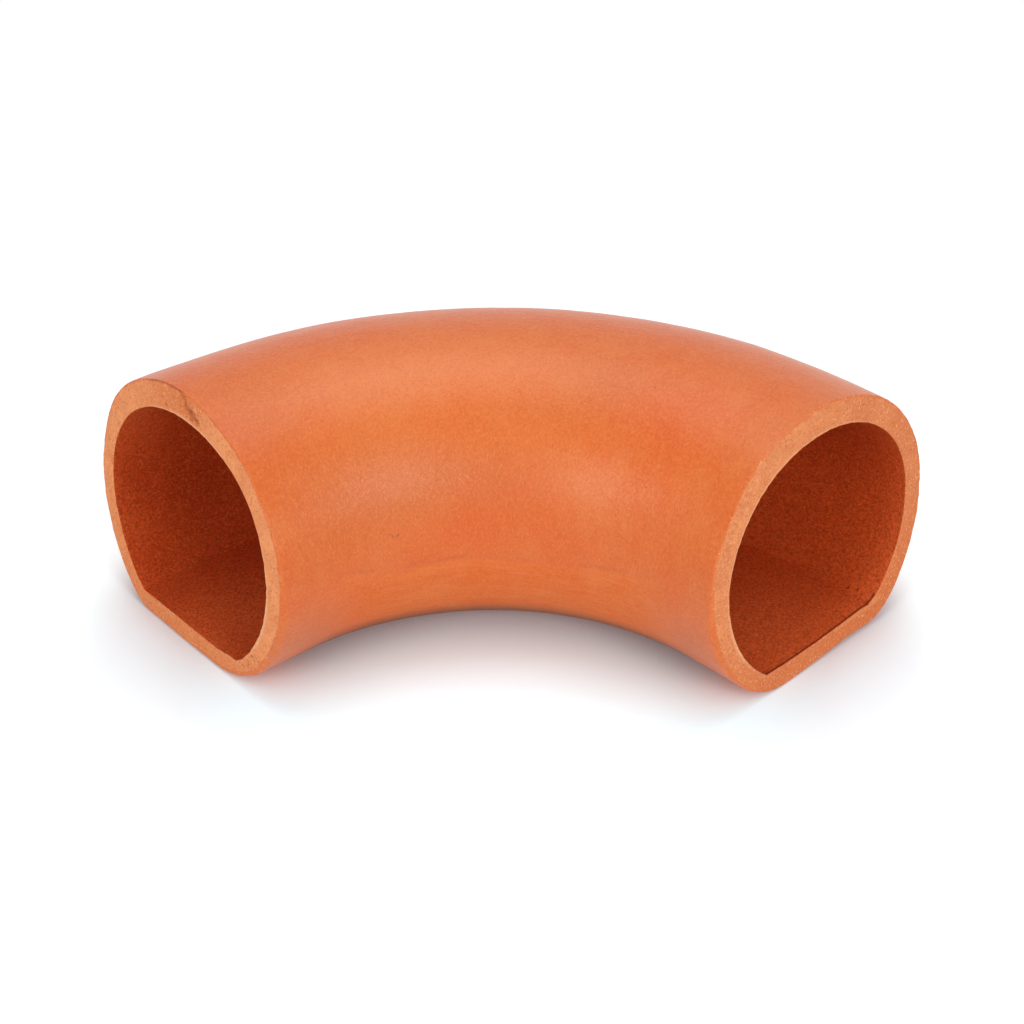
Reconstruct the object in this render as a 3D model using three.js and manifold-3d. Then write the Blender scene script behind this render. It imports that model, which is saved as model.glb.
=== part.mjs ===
// Clay drain pipe bend: a quarter turn of unglazed clay pipe, fired as one piece.
//
// Its section is a round arch standing on a flat base, with the base's corner rounder on the
// inside of the bend. The bore is an arch of its own with a flat floor. A straight run carries
// each end past the bend. Both ends are plain cuts that lean back, so that the base reaches out
// past the crown, and their outer edges are rounded.
//
// Units are millimetres and +Z is up. The pipe lies on its flat base at Z = 0, and the origin is
// on the underside, below the middle of the bend. The bend is symmetric about X = 0, and both
// ends open towards -Y.

import * as THREE from 'three';
import { mergeVertices } from 'three/addons/utils/BufferGeometryUtils.js';
import Module from 'manifold-3d';

// Driving dimensions of the section
const BORE_RADIUS = 50; // arch of the bore
const FLOOR_WIDTH = 60; // flat floor of the bore, where it cuts across the arch
const SIDE_WALL = 9.5; // beside the arch of the bore
const CROWN_WALL = 10.5; // above the bore
const BASE_WALL = 10; // below the bore's floor
const OUTSIDE_CORNER = 17; // rounding of the base's corner on the outside of the bend
const INSIDE_CORNER = 34; // rounding of the base's corner on the inside of the bend

// Driving dimensions of the run
const BEND_RADIUS = 155; // from the bend's centre to the middle of the bore
const BEND_ANGLE = THREE.MathUtils.degToRad(90);
const BASE_STRAIGHT = 17; // straight run past the bend at each end, measured along the base
const END_LEAN = THREE.MathUtils.degToRad(6.3); // how far each cut end leans back
const EDGE_ROUNDING = 1.5; // rounding of the outer edge of each cut end

// Fineness of the facets
const SECTION_FACET = THREE.MathUtils.degToRad(7.5); // turn of an arc for each side of the section
const RUN_STEPS = 34; // lengths that the run is divided into
const EDGE_STEPS = 3; // facets across the rounding of an end's edge

// How far the bore's tool reaches past each cut end
const BORE_OVERRUN = 20;

// Heights are measured from the underside of the base
const FLOOR_DEPTH = Math.sqrt(BORE_RADIUS ** 2 - (FLOOR_WIDTH / 2) ** 2); // below the arch's centre
const BORE_ARCH_CENTRE = BASE_WALL + FLOOR_DEPTH;
const OUTER_RADIUS = BORE_RADIUS + SIDE_WALL;
const OUTER_ARCH_CENTRE = BORE_ARCH_CENTRE + BORE_RADIUS + CROWN_WALL - OUTER_RADIUS;
const HALF_BEND = BEND_ANGLE / 2;
const HALF_RUN = BEND_RADIUS * HALF_BEND + BASE_STRAIGHT;

/** Points along an arc of the section, whose axes are (across, up). */
function arcPoints(across, up, radius, start, end) {
	const sides = Math.ceil(Math.abs(end - start) / SECTION_FACET);
	return new THREE.EllipseCurve(across, up, radius, radius, start, end).getPoints(sides);
}

/** Where a rounded base corner lies: half the flat, and the angle where it meets the arch. */
function baseCorner(radius) {
	const drop = OUTER_ARCH_CENTRE - radius;
	const halfFlat = Math.sqrt((OUTER_RADIUS - radius) ** 2 - drop ** 2);
	return { halfFlat, meet: Math.atan2(-drop, halfFlat) };
}

/** The outer outline: flat base, outside corner, arch and inside corner, with across outwards. */
function outerOutline() {
	const outside = baseCorner(OUTSIDE_CORNER);
	const inside = baseCorner(INSIDE_CORNER);
	const archEnd = Math.PI - inside.meet;
	const arch = arcPoints(0, OUTER_ARCH_CENTRE, OUTER_RADIUS, outside.meet, archEnd);
	return new THREE.Shape([
		...arcPoints(outside.halfFlat, OUTSIDE_CORNER, OUTSIDE_CORNER, -Math.PI / 2, outside.meet),
		...arch.slice(1, -1),
		...arcPoints(-inside.halfFlat, INSIDE_CORNER, INSIDE_CORNER, archEnd, 1.5 * Math.PI),
	]);
}

/** The bore's outline: its arch, closed by its flat floor. */
function boreOutline() {
	const meet = -Math.asin(FLOOR_DEPTH / BORE_RADIUS);
	return new THREE.Shape(arcPoints(0, BORE_ARCH_CENTRE, BORE_RADIUS, meet, Math.PI - meet));
}

/** Leans the ends of a straight run back and bends it round, from the -X end to the +X end. */
function bendRun(geometry) {
	const position = geometry.attributes.position;
	for (let i = 0; i < position.count; i++) {
		const across = position.getX(i);
		const up = position.getY(i);
		const level = position.getZ(i);
		const along = level - (level / HALF_RUN) * up * Math.tan(END_LEAN);
		const turn = THREE.MathUtils.clamp(along / BEND_RADIUS, -HALF_BEND, HALF_BEND);
		const straight = along - turn * BEND_RADIUS;
		const reach = BEND_RADIUS + across;
		const x = reach * Math.sin(turn) + straight * Math.cos(turn);
		const y = reach * Math.cos(turn) - straight * Math.sin(turn) - BEND_RADIUS;
		position.setXYZ(i, x, y, up);
	}
	return geometry;
}

/** The pipe before it is bored, with the edges of its ends rounded. */
function outerRun() {
	const run = new THREE.ExtrudeGeometry(outerOutline(), {
		depth: 2 * (HALF_RUN - EDGE_ROUNDING),
		steps: RUN_STEPS,
		bevelThickness: EDGE_ROUNDING,
		bevelSize: EDGE_ROUNDING,
		bevelOffset: -EDGE_ROUNDING,
		bevelSegments: EDGE_STEPS,
	});
	return bendRun(run.translate(0, 0, EDGE_ROUNDING - HALF_RUN));
}

/** The bore as a solid that runs out past both ends. */
function boreRun() {
	const halfLength = HALF_RUN + BORE_OVERRUN;
	const run = new THREE.ExtrudeGeometry(boreOutline(), {
		depth: 2 * halfLength,
		steps: RUN_STEPS,
		bevelEnabled: false,
	});
	return bendRun(run.translate(0, 0, -halfLength));
}

const wasm = await Module();
wasm.setup();

/** A manifold solid from a closed geometry. */
function toSolid(geometry) {
	const bare = geometry.clone();
	bare.deleteAttribute('normal');
	bare.deleteAttribute('uv');
	const merged = mergeVertices(bare);
	return new wasm.Manifold(new wasm.Mesh({
		numProp: 3,
		vertProperties: new Float32Array(merged.attributes.position.array),
		triVerts: new Uint32Array(merged.index.array),
	}));
}

/** A geometry from a manifold solid. */
function toGeometry(solid) {
	const mesh = solid.getMesh();
	const geometry = new THREE.BufferGeometry();
	geometry.setAttribute('position', new THREE.BufferAttribute(mesh.vertProperties, 3));
	geometry.setIndex(new THREE.BufferAttribute(mesh.triVerts, 1));
	geometry.computeVertexNormals();
	return geometry;
}

const terracotta = new THREE.MeshStandardMaterial({
	color: '#d8764a',
	roughness: 0.85,
	metalness: 0,
});

const pipe = new THREE.Mesh(toGeometry(toSolid(outerRun()).subtract(toSolid(boreRun()))), terracotta);
pipe.name = 'pipe_bend';

const drainPipe = new THREE.Group();
drainPipe.add(pipe);

export default drainPipe;
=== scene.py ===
"""Clay drain pipe bend, dressed as one piece of unglazed terracotta on a plain pale floor."""

import math

import bpy
import numpy as np
from mathutils import Matrix, Vector, noise


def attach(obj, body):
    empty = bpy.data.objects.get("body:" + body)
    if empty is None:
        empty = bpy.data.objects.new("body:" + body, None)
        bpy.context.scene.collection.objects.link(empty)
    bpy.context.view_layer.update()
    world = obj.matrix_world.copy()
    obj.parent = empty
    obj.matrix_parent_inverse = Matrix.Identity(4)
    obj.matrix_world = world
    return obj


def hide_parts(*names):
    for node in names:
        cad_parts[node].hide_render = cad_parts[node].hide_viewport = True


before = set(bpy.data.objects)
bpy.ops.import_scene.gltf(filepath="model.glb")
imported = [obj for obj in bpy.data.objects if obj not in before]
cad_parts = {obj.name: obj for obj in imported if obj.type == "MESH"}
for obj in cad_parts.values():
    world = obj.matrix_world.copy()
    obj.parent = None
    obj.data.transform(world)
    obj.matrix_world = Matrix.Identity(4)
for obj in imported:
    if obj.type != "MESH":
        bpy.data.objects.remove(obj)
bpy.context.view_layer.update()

bl_info = {
    "name": "Clay Drain Pipe Bend",
    "version": (1, 0, 0),
    "blender": (4, 5, 0),
    "location": "View3D > Sidebar > Clay Pipe",
    "description": "Builds a quarter-turn terracotta drain pipe and the studio that it stands in",
    "category": "Object",
}

MM = 0.001  # the dimensions below are millimetres, as the drawing has them
PIPE_NODE = "pipe_bend"

# Fineness of the mesh
COLUMNS = 350  # quads around the section
SKIN_RINGS = 141
BORE_RINGS = 83
EDGE_STEPS = 6
ARRIS_STEPS = 3
FACE_STEPS = 15
BROKEN_CROWN, BROKEN_HEEL = 88, 221  # degrees around the left end, where the columns lie closer
TABLE_SMOOTHING = 5  # degrees over which a table around the section is smoothed

SKIN, CUT, BORE = range(3)  # what each ring of the mesh lies on, and its material slot
LEFT, RIGHT = -1, 1  # the two ends, along X


def linear(hex_colour):
    """The linear RGBA of an sRGB hex colour."""
    channels = [int(hex_colour[i:i + 2], 16) / 255 for i in (1, 3, 5)]
    return [c / 12.92 if c <= 0.04045 else ((c + 0.055) / 1.055) ** 2.4 for c in channels] + [1.0]


def length(name, description, default):
    """A property that is a length, given in millimetres."""
    return bpy.props.FloatProperty(name=name, description=description, default=default * MM,
                                   min=0, unit="LENGTH", precision=4)


def angle(name, description, default):
    """A property that is an angle, given in degrees."""
    return bpy.props.FloatProperty(name=name, description=description, default=math.radians(default),
                                   subtype="ANGLE")


def colour(name, description, default):
    """A property that is a colour, given as sRGB hex."""
    return bpy.props.FloatVectorProperty(name=name, description=description, default=linear(default),
                                         subtype="COLOR", size=4, min=0, max=1)


def level(name, description, default):
    """A property that is the brightness of a light, where 1 is white."""
    return bpy.props.FloatProperty(name=name, description=description, default=default, min=0)


class ClayPipeSizes(bpy.types.PropertyGroup):
    """Dimensions of the pipe, the same as the solid's, and how far its bore's edges are worn."""

    bore_radius: length("Bore radius", "Arch of the bore", 50)
    floor_width: length("Floor width", "Flat floor of the bore", 60)
    side_wall: length("Side wall", "Clay beside the arch of the bore", 9.5)
    crown_wall: length("Crown wall", "Clay above the bore", 10.5)
    base_wall: length("Base wall", "Clay below the bore's floor", 10)
    outside_corner: length("Outside corner", "Base corner on the outside of the bend", 17)
    inside_corner: length("Inside corner", "Base corner on the inside of the bend", 34)
    bend_radius: length("Bend radius", "From the bend's centre to the middle of the bore", 155)
    bend_angle: angle("Bend angle", "Turn of the bend", 90)
    base_straight: length("Straight", "Straight run past the bend at each end", 17)
    end_lean: angle("End lean", "How far each cut end leans back", 6.3)
    arris_rounding: length("Arris rounding", "Worn arris where the bore meets each cut end", 0.4)


class ClayPipeFinish(bpy.types.PropertyGroup):
    """Colours and relief of the fired clay."""

    skin_deep: colour("Skin, deep", "Bare fired clay of the extruded skin", "#de6720")
    skin_pale: colour("Skin, pale", "Skin with a thin bloom of salts", "#df6f2c")
    skin_shade: colour("Skin, shade", "Skin between its puckers", "#b4501c")
    # also the painted highlight of the pale patches on the skin
    skin_dust_and_highlight: colour("Skin, dust", "Clay dust rubbed into the skin", "#ea8848")
    # browner tone, and painted shade where the skin took too much light
    skin_brown_and_shade: colour("Skin, tanned", "Browner patches of the skin", "#ce6b2c")
    # deeper orange tone, and painted shade against too strong a sheen along the crown
    skin_deep_orange_and_shade: colour("Skin, flushed", "Patches of the skin with a deeper orange", "#dd5a12")
    # painted shade for the dark foot of the bend's inside, where it meets the floor
    painted_foot_shade: colour("Painted foot shade", "Dark foot of the bend's inside, shade as much as clay", "#6c4a38")
    cut_sandy: colour("Cut end", "Open sandy clay of the wire-cut ends", "#fb9e62")
    # redder clay, and on the right end painted shade of that cut face
    cut_deep_and_shade: colour("Cut end, deep", "Redder clay of the cut ends", "#e3844f")
    cut_fresh: colour("Cut end, smooth", "Cut clay that the wire left close and smooth", "#e0763a")
    # also the painted highlight along the bore's worn arris
    cut_sand_and_highlight: colour("Cut end, sand", "Grains of sand in the cut ends", "#ffbd8c")
    bore_deep: colour("Bore, deep", "Dense red clay inside the pipe", "#ca4419")
    bore_pale: colour("Bore, pale", "Dusty clay inside the pipe", "#de5721")
    bore_dense: colour("Bore, dense", "Darker clay inside the pipe, in broad patches", "#b43812")
    # painted light: brighter patches at the mouths of the bore
    bore_painted_light: colour("Bore, warm", "Brighter clay inside the pipe, in broad patches", "#ff753c")
    bore_shade: colour("Bore, shade", "Shadowed clay between the grains of the bore", "#7a260a")
    bore_dust: colour("Bore, dust", "Rubbed grains of the bore", "#e4743c")
    crevice: colour("Crevice", "Shadowed clay inside nicks and tears", "#9e4014")
    waviness: length("Waviness", "How far the drawn clay strays from a true surface", 0.22)
    pucker_depth: length("Pucker depth", "Relief of the skin's leathery puckers", 0.17)
    grain_depth: length("Grain depth", "Relief of the bore's and the cut ends' grains", 0.34)


class ClayPipeStudio(bpy.types.PropertyGroup):
    """The floor, the lamps and the camera."""

    floor_size: length("Floor size", "Side of the square floor", 9000)
    floor_colour: colour("Floor", "Matt paper under the pipe", "#e6e6e6")
    dome: level("Dome", "Level of the light from all sides", 0.47)
    overhead: level("Overhead softbox", "Brightness of the softbox above the left half", 1.35)
    overhead_right: level("Overhead right softbox", "Brightness of the softbox above the right half", 0.75)
    back: level("Back softbox", "Brightness of the softbox above and behind", 0.6)
    left: level("Left softbox", "Brightness of the softbox at the front left", 4.6)
    right: level("Right softbox", "Brightness of the softbox at the front right", 5.3)
    front: level("Front strip", "Brightness of the long low softbox at the front", 1.0)
    side: level("Side softbox", "Brightness of the softbox low at the right", 0.7)
    lens: bpy.props.FloatProperty(name="Lens", description="Focal length on a 36 mm sensor",
                                  default=64.588, unit="CAMERA")


# ---------------------------------------------------------------- shape of the pipe, in millimetres

class PipeShape:
    """The pipe's section and run, worked out from its sizes."""

    def __init__(self, sizes):
        names = ("bore_radius", "floor_width", "side_wall", "crown_wall", "base_wall", "outside_corner",
                 "inside_corner", "bend_radius", "base_straight", "arris_rounding")
        for name in names:
            setattr(self, name, getattr(sizes, name) / MM)
        self.floor_depth = math.sqrt(self.bore_radius ** 2 - (self.floor_width / 2) ** 2)
        self.centre = self.base_wall + self.floor_depth  # height of the bore's arch centre
        self.outer_radius = self.bore_radius + self.side_wall
        self.outer_centre = self.centre + self.bore_radius + self.crown_wall - self.outer_radius
        self.half_bend = sizes.bend_angle / 2
        self.half_run = self.bend_radius * self.half_bend + self.base_straight
        self.lean = math.tan(sizes.end_lean)

    def base_corner(self, radius):
        """Half of the base's flat on one side, and the angle where its corner meets the arch."""
        drop = self.outer_centre - radius
        half_flat = math.sqrt((self.outer_radius - radius) ** 2 - drop ** 2)
        return half_flat, math.atan2(-drop, half_flat)

    def outer_outline(self):
        """Close points (across, up) once around the outside, from the outside end of the flat."""
        def arc(across, up, radius, start, end):
            turn = np.linspace(start, end, 600)
            return np.stack([across + radius * np.cos(turn), up + radius * np.sin(turn)], 1)

        outside, meet_out = self.base_corner(self.outside_corner)
        inside, meet_in = self.base_corner(self.inside_corner)
        flat = np.linspace(-inside, outside, 200)[1:-1]
        return np.concatenate([
            arc(outside, self.outside_corner, self.outside_corner, -math.pi / 2, meet_out),
            arc(0, self.outer_centre, self.outer_radius, meet_out, math.pi - meet_in),
            arc(-inside, self.inside_corner, self.inside_corner, math.pi - meet_in, 1.5 * math.pi),
            np.stack([flat, np.zeros_like(flat)], 1)])

    def section(self):
        """Where rays from the bore's centre meet the outside and the bore."""
        outline = self.outer_outline()
        loop = np.concatenate([outline, outline[:1]])
        travelled = np.concatenate([[0], np.cumsum(np.hypot(*np.diff(loop, axis=0).T))])
        bearing = np.unwrap(np.arctan2(loop[:, 1] - self.centre, loop[:, 0]))
        crown = np.interp(math.radians(BROKEN_CROWN), bearing, travelled)
        heel = np.interp(math.radians(BROKEN_HEEL), bearing, travelled)
        stops = spread(0, travelled[-1], COLUMNS + 1, [(crown, 17, 0.9), (heel, 9, 0.5)])[:-1]
        rays = np.interp(stops, travelled, bearing)
        corner = math.asin(self.floor_depth / self.bore_radius)
        for exact in (-corner, math.pi + corner):  # a column on each floor corner
            rays[np.argmin(np.abs(rays - exact))] = exact
        outer = np.stack([np.interp(rays, bearing, loop[:, k]) for k in (0, 1)], 1)
        reach = np.where(np.sin(rays) < -self.floor_depth / self.bore_radius,
                         -self.floor_depth / np.minimum(np.sin(rays), -1e-6), self.bore_radius)
        bore = np.stack([reach * np.cos(rays), self.centre + reach * np.sin(rays)], 1)
        return outer, bore

    def bend(self, level, across, up):
        """Where a point of the straight pipe goes when its ends lean and the run is bent."""
        along = level - level / self.half_run * up * self.lean
        turn = np.clip(along / self.bend_radius, -self.half_bend, self.half_bend)
        straight = along - turn * self.bend_radius
        reach = self.bend_radius + across
        return np.stack([reach * np.sin(turn) + straight * np.cos(turn),
                         reach * np.cos(turn) - straight * np.sin(turn) - self.bend_radius, up], -1)

    def rings(self, rounding):
        """The loop of rings: along the skin, round one end, back through the bore, round the other.

        Each is (level, share of the outer outline, depth under that outline, depth under the bore,
        what it lies on), where the levels and depths may differ from column to column.
        """
        arris, end, ends = self.arris_rounding, self.half_run, {}
        for side in (LEFT, RIGHT):
            edge = rounding[side]
            ends[side] = [(side * (end - edge * (1 - math.sin(a))), 1, edge * (1 - math.cos(a)), 0, SKIN)
                          for a in np.linspace(0, math.pi / 2, EDGE_STEPS + 1)[1:]]
            ends[side] += [(side * end, share, edge, arris, CUT)
                           for share in np.linspace(1, 0, FACE_STEPS + 1)[1:-1]]
            ends[side] += [(side * (end - arris * (1 - math.cos(a))), 0, 0, arris * (1 - math.sin(a)), CUT)
                           for a in np.linspace(0, math.pi / 2, ARRIS_STEPS + 1)[:-1]]
        skin = spread(-1, 1, SKIN_RINGS, [(-1, 0.05, 2.2), (1, 0.05, 2.2)])
        bore = spread(arris - end, end - arris, BORE_RINGS,
                      [(-end, 5, 3), (end, 5, 3), (end - 0.6, 1.2, 8), (end - 9, 6, 1)])
        return ([(part * (end - rounding[LEFT if part < 0 else RIGHT]), 1, 0, 0, SKIN) for part in skin]
                + ends[RIGHT] + [(level, 0, 0, 0, BORE) for level in bore[::-1]] + ends[LEFT][::-1])


def spread(low, high, count, crowds):
    """Stops from low to high, closer together by some share around each (place, width, share)."""
    fine = np.linspace(low, high, 4001)
    density = 1 + sum(share * np.exp(-((fine - place) / width) ** 2) for place, width, share in crowds)
    passed = np.concatenate([[0], np.cumsum((density[1:] + density[:-1]) / 2)])
    return np.interp(np.linspace(0, passed[-1], count), passed, fine)


def outward(outline):
    """Unit normals of a closed outline that runs anticlockwise, pointing out of it."""
    run = np.roll(outline, -1, 0) - np.roll(outline, 1, 0)
    run /= np.linalg.norm(run, axis=1, keepdims=True)
    return np.stack([run[:, 1], -run[:, 0]], 1)


def grid_normals(grid):
    """Unit normals of a grid of points that closes on itself both ways."""
    ahead = np.roll(grid, -1, 0) - np.roll(grid, 1, 0)
    beside = np.roll(grid, -1, 1) - np.roll(grid, 1, 1)
    out = np.cross(beside, ahead)
    return out / np.linalg.norm(out, axis=-1, keepdims=True)


def around(table, degrees):
    """Values of a table of (degrees, value), read smoothly once around the section."""
    ring = np.arange(360)
    values = np.interp(ring, *zip(*table), period=360)
    near = np.exp(-(np.minimum(ring, 360 - ring) / TABLE_SMOOTHING) ** 2)
    values = np.fft.ifft(np.fft.fft(values) * np.fft.fft(near / near.sum())).real
    return np.interp(degrees, ring, values, period=360)


# -------------------------------------------------------------------------- marks in the clay, mm
# Places are in the straight pipe: along the run, across it towards the outside, and up.

# How each end strays from the drawing, by degrees around the bore's centre from the outside of the
# bend over the crown: the soft clay sagged a little, and its skin rolled over under the wire. "skin"
# and "bore" are how far out those walls lie, and "rounding" is the radius of the outer edge. "red"
# and "smooth" are how much redder and how much smoother the cut clay looks, from 0 to 1. The right
# end's "red" is painted shade, which darkens that cut face against the left one.
END_SHAPE = {
    LEFT: {
        "skin": [(0, -1), (18, -1.1), (24, -0.5), (30, 0.2), (36, 0.6), (42, 1.05), (54, 0.95), (60, 0.7),
                 (66, 0.5), (78, 0.5), (90, 0.1), (102, -0.5), (114, -0.9), (126, -0.3), (132, -0.3),
                 (138, -0.9), (150, -0.6), (156, 0), (168, -0.1), (204, -0.3), (210, -0.6), (216, -0.9),
                 (222, -0.8), (228, -1.1), (234, -1), (240, -0.7), (246, 0), (288, 0), (294, -0.2),
                 (300, 0.1), (306, 1.1), (312, 1.2), (318, 0.7), (330, -0.2), (342, -0.9)],
        "bore": [(0, 0.85), (18, 1.1), (30, 1.15), (42, 1.1), (54, 0.55), (66, 0), (78, -0.65),
                 (90, -0.85), (102, -0.75), (114, -0.25), (126, 0.75), (138, 0.95), (150, 0.3),
                 (162, -0.2), (174, -0.55), (186, -0.8), (198, -1), (204, -0.95), (210, -0.8),
                 (222, -0.45), (226, -0.1), (229.5, 0.5), (231.5, -0.2), (233.3, -1.1), (237, -0.5),
                 (241, 0.3), (246, 1.1), (270, 1.1), (288, 1.2), (300, 1.5), (306, 2), (309, 2.4),
                 (313, 2.2), (320, 1.7), (330, 0.9), (342, 0.6), (354, 0.9)],
        "rounding": [(0, 1.3), (50, 0.8), (70, 0.5), (150, 0.5), (160, 1), (174, 1.6), (186, 2),
                     (198, 2.4), (210, 2.8), (222, 2.6), (234, 2.8), (246, 2.8), (258, 2.2), (270, 1.5),
                     (300, 1.5)],
        "red": [(0, 0), (216, 0), (330, 0.1)],
        "smooth": [(0, 0), (60, 0.1), (68, 0.5), (84, 0.7), (96, 0.8), (106, 0), (212, 0), (228, 0.4),
                   (312, 0.45), (330, 0.3), (348, 0.1)],
    },
    RIGHT: {
        "skin": [(0, -0.3), (6, 0), (12, 0.3), (18, 0.7), (30, 0.6), (42, 0.45), (54, 0.2), (60, -0.1),
                 (66, -0.35), (80, -0.4), (90, -0.1), (108, 0.1), (119, 1.3), (130, 0.9), (141, -0.2),
                 (150, 0), (158, 0.5), (168, 0.1), (192, -0.4), (204, 0), (212, -0.5), (222, -0.9),
                 (234, -0.5), (240, -0.1), (252, -0.1), (270, -0.3), (282, -0.7), (288, -1.1),
                 (294, -1.3), (301, -1.2), (306, 0.4), (312, 1.4), (318, 1.3), (330, 0.5), (342, 0.1)],
        "bore": [(0, 0.4), (6, 0.8), (18, 1.2), (30, 1.15), (42, 0.68), (54, 0.25), (66, -0.2),
                 (78, -0.63), (90, -0.95), (102, -0.9), (114, -0.5), (126, -0.2), (144, -0.3), (162, 0),
                 (174, 0.1), (186, -0.26), (198, -0.5), (210, -0.65), (222, -0.35), (234, 0), (240, 0.4),
                 (264, 0.35), (270, 0.25), (276, 0), (282, -0.2), (288, -0.4), (294, -0.6), (300, -0.9),
                 (306.8, -1.9), (310.7, 0.3), (314, 0.5), (318, 0.5), (324, 0), (330, 0), (336, 0.3),
                 (348, 0.2)],
        "rounding": [(0, 0.7), (60, 0.6), (85, 0.5), (105, 0.4), (150, 0.5), (164, 0.9), (177, 1.7),
                     (192, 2.4), (200, 2.3), (210, 1.8), (225, 1), (245, 1), (258, 1.2), (270, 1.7),
                     (282, 2.2), (294, 2.4), (306, 1.4), (318, 1), (340, 0.8)],
        "red": [(0, 1), (84, 0.9), (96, 0.6), (204, 0.6), (216, 0.9)],
        "smooth": [(0, 0.2), (84, 0.15), (108, 0), (192, 0), (204, 0.2), (216, 0.5), (264, 0.6),
                   (282, 0.85), (312, 1), (330, 0.85), (348, 0.5)],
    },
}
SKIN_REACH, BORE_REACH = 27, 45  # how far in from each end the clay strays

# How the crown of the bend rises and falls along the run: (along, height)
CROWN_SWELL = [(-125, -0.2), (-95, -0.2), (-60, 0), (0, 0.2), (35, 0.25), (65, 0.5), (82, 0.4), (100, 0)]

# Broad soft patches of colour: (along, degrees, reach along, reach in degrees, strength). They were
# fitted to how the pipe looks in this light, and besides tone that differs at random they hold painted
# light: pale patches of painted highlight where the skin's sheen falls, deeper orange and browner
# patches of painted shade where the skin took too much light or too strong a sheen, and painted light
# at the mouths of the bore.
SKIN_PALE_AND_HIGHLIGHT = [(-15, 112, 50, 15, 0.32), (45, 150, 22, 10, 0.22), (5, 139, 26, 7, 0.2),
             (-65, 122, 40, 20, 0.16), (-83, 97, 16, 8, 0.2)]
SKIN_DEEP_ORANGE_AND_SHADE = [(76, 126, 20, 9, 0.6), (-12, 170, 34, 13, 0.6), (-48, 181, 18, 9, 0.4),
                (50, 174, 16, 8, 0.3), (-118, 120, 15, 15, 0.7), (85, 113, 22, 8, 0.3),
                (-5, 154, 28, 8, 0.5), (15, 187, 30, 6, 0.25), (-76, 151, 12, 6, 0.4),
                (0, 70, 100, 11, 0.3), (-120, 76, 14, 16, 0.5)]
SKIN_BROWN_AND_SHADE = [(-85, 150, 45, 20, 0.6), (-20, 150, 45, 13, 0.5), (-115, 115, 20, 20, 0.4),
               (45, 112, 20, 12, 0.4), (15, 128, 30, 8, 0.25), (-125, 200, 20, 12, 0.7),
               (122, 200, 14, 12, 0.7)]
# painted light near both mouths of the bore
BORE_PAINTED_LIGHT = [(-115, 245, 26, 48, 0.6), (117, 245, 26, 45, 0.8), (-122, 42, 12, 30, 0.6),
             (136, 15, 9, 65, 0.65), (136, 312, 8, 25, 0.4), (-136, 10, 7, 50, 0.5),
             (-136, 262, 6, 25, 0.3)]
BORE_DENSE = [(-102, 338, 18, 30, 0.7), (104, 20, 22, 25, 0.6), (118, 75, 12, 25, 0.3),
              (0, 0, 70, 400, 0.3)]

# The joint that the two halves of the forming box left on the inside of the bend: (along, up)
SEAM = [(-128, 60), (-99, 52), (-61, 46.5), (-43, 47.5), (-20, 48.5), (-1, 47), (36, 46.8), (87, 52),
        (118, 58)]

# Where the wire tore the crown of the left end: (across, up, width), over the edge and down the cut,
# and the fainter crack beside it
CROWN_TEAR = [(3.5, 109.8, 0.5), (0.6, 109.0, 0.7), (-0.5, 107.6, 0.8), (-0.7, 105.4, 1.3),
              (-2.6, 104.2, 1.5), (-5, 103.3, 1.4), (-8.2, 102, 0.7)]
CROWN_CRACK = [(0.6, 105.6, 0.5), (-1.8, 102.9, 0.6), (-4.6, 101.6, 0.5)]

# Fine scratches and flecks: where each starts and ends, its half width, and how dark it is. A pale
# one is below 0.
SKIN_FLECKS = [
    ((-66.6, -58.1, 63.5), (-65.5, -58.2, 63.1), 0.30, 0.4),
    ((-64.7, -58.2, 63.0), (-63.8, -58.5, 61.8), 0.32, 0.65),
    ((-62.2, -58.5, 61.6), (-60.2, -58.3, 62.7), 0.30, 0.7),
    ((64.6, -20.8, 106.7), (65.8, -21.4, 106.5), 0.30, 0.5),
    ((63.6, -2.5, 110.3), (68.2, -5.6, 110.2), 0.28, 0.2),
    ((-18.6, -51.8, 80.0), (-17.8, -52.3, 79.2), 0.3, -0.3),
    ((-127.0, 12.6, 109.0), (-127.6, 12.5, 107.8), 0.45, -0.9),
    ((-127.0, -9.0, 107.9), (-127.6, -9.6, 107.0), 0.4, -0.7),
]
CUT_FLECKS = [
    ((-127.6, 12.2, 100.7), (-127.8, 11.7, 100.5), 0.5, 1.0),
    ((-127.0, 12.6, 109.0), (-127.6, 12.5, 107.6), 0.4, -0.9),
    ((-127.2, -6.9, 107.6), (-127.3, -7.3, 106.4), 0.45, -0.8),
    ((-137.3, -38.6, 14.6), (-137.3, -39.0, 14.0), 0.35, 0.6),
    ((-137.6, -40.4, 12.2), (-137.6, -41.0, 12.4), 0.35, 0.7),
]
BORE_FLECKS = [
    ((-120.7, 49.8, 53.5), (-120.2, 49.9, 50.4), 0.35, -0.5),
    ((-119.3, 49.7, 54.1), (-118.7, 49.8, 53.0), 0.35, -0.5),
    ((-121.2, 49.7, 55.2), (-120.6, 49.6, 55.6), 0.3, -0.4),
    ((-121.9, 49.3, 57.6), (-121.5, 49.5, 56.5), 0.35, 0.5),
    ((-133.2, 46.6, 32.2), (-133.0, 46.2, 31.1), 0.4, -0.7),
    ((125.5, 31.0, 10.9), (126.0, 31.9, 11.6), 0.4, 0.9),
    ((129.7, 32.1, 11.8), (129.3, 32.9, 12.5), 0.4, 0.9),
    ((127.4, 35.3, 14.7), (127.4, 35.8, 15.2), 0.4, 0.6),
    ((127.8, 35.6, 15.0), (128.0, 36.3, 15.7), 0.35, -0.5),
    ((135.9, 30.2, 10.6), (136.8, 31.6, 11.6), 0.4, 0.9),
]


def smooth(value, low, high):
    """0 at low, 1 at high, and an even ramp between them."""
    t = np.clip((value - low) / (high - low), 0, 1)
    return t * t * (3 - 2 * t)


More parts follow.
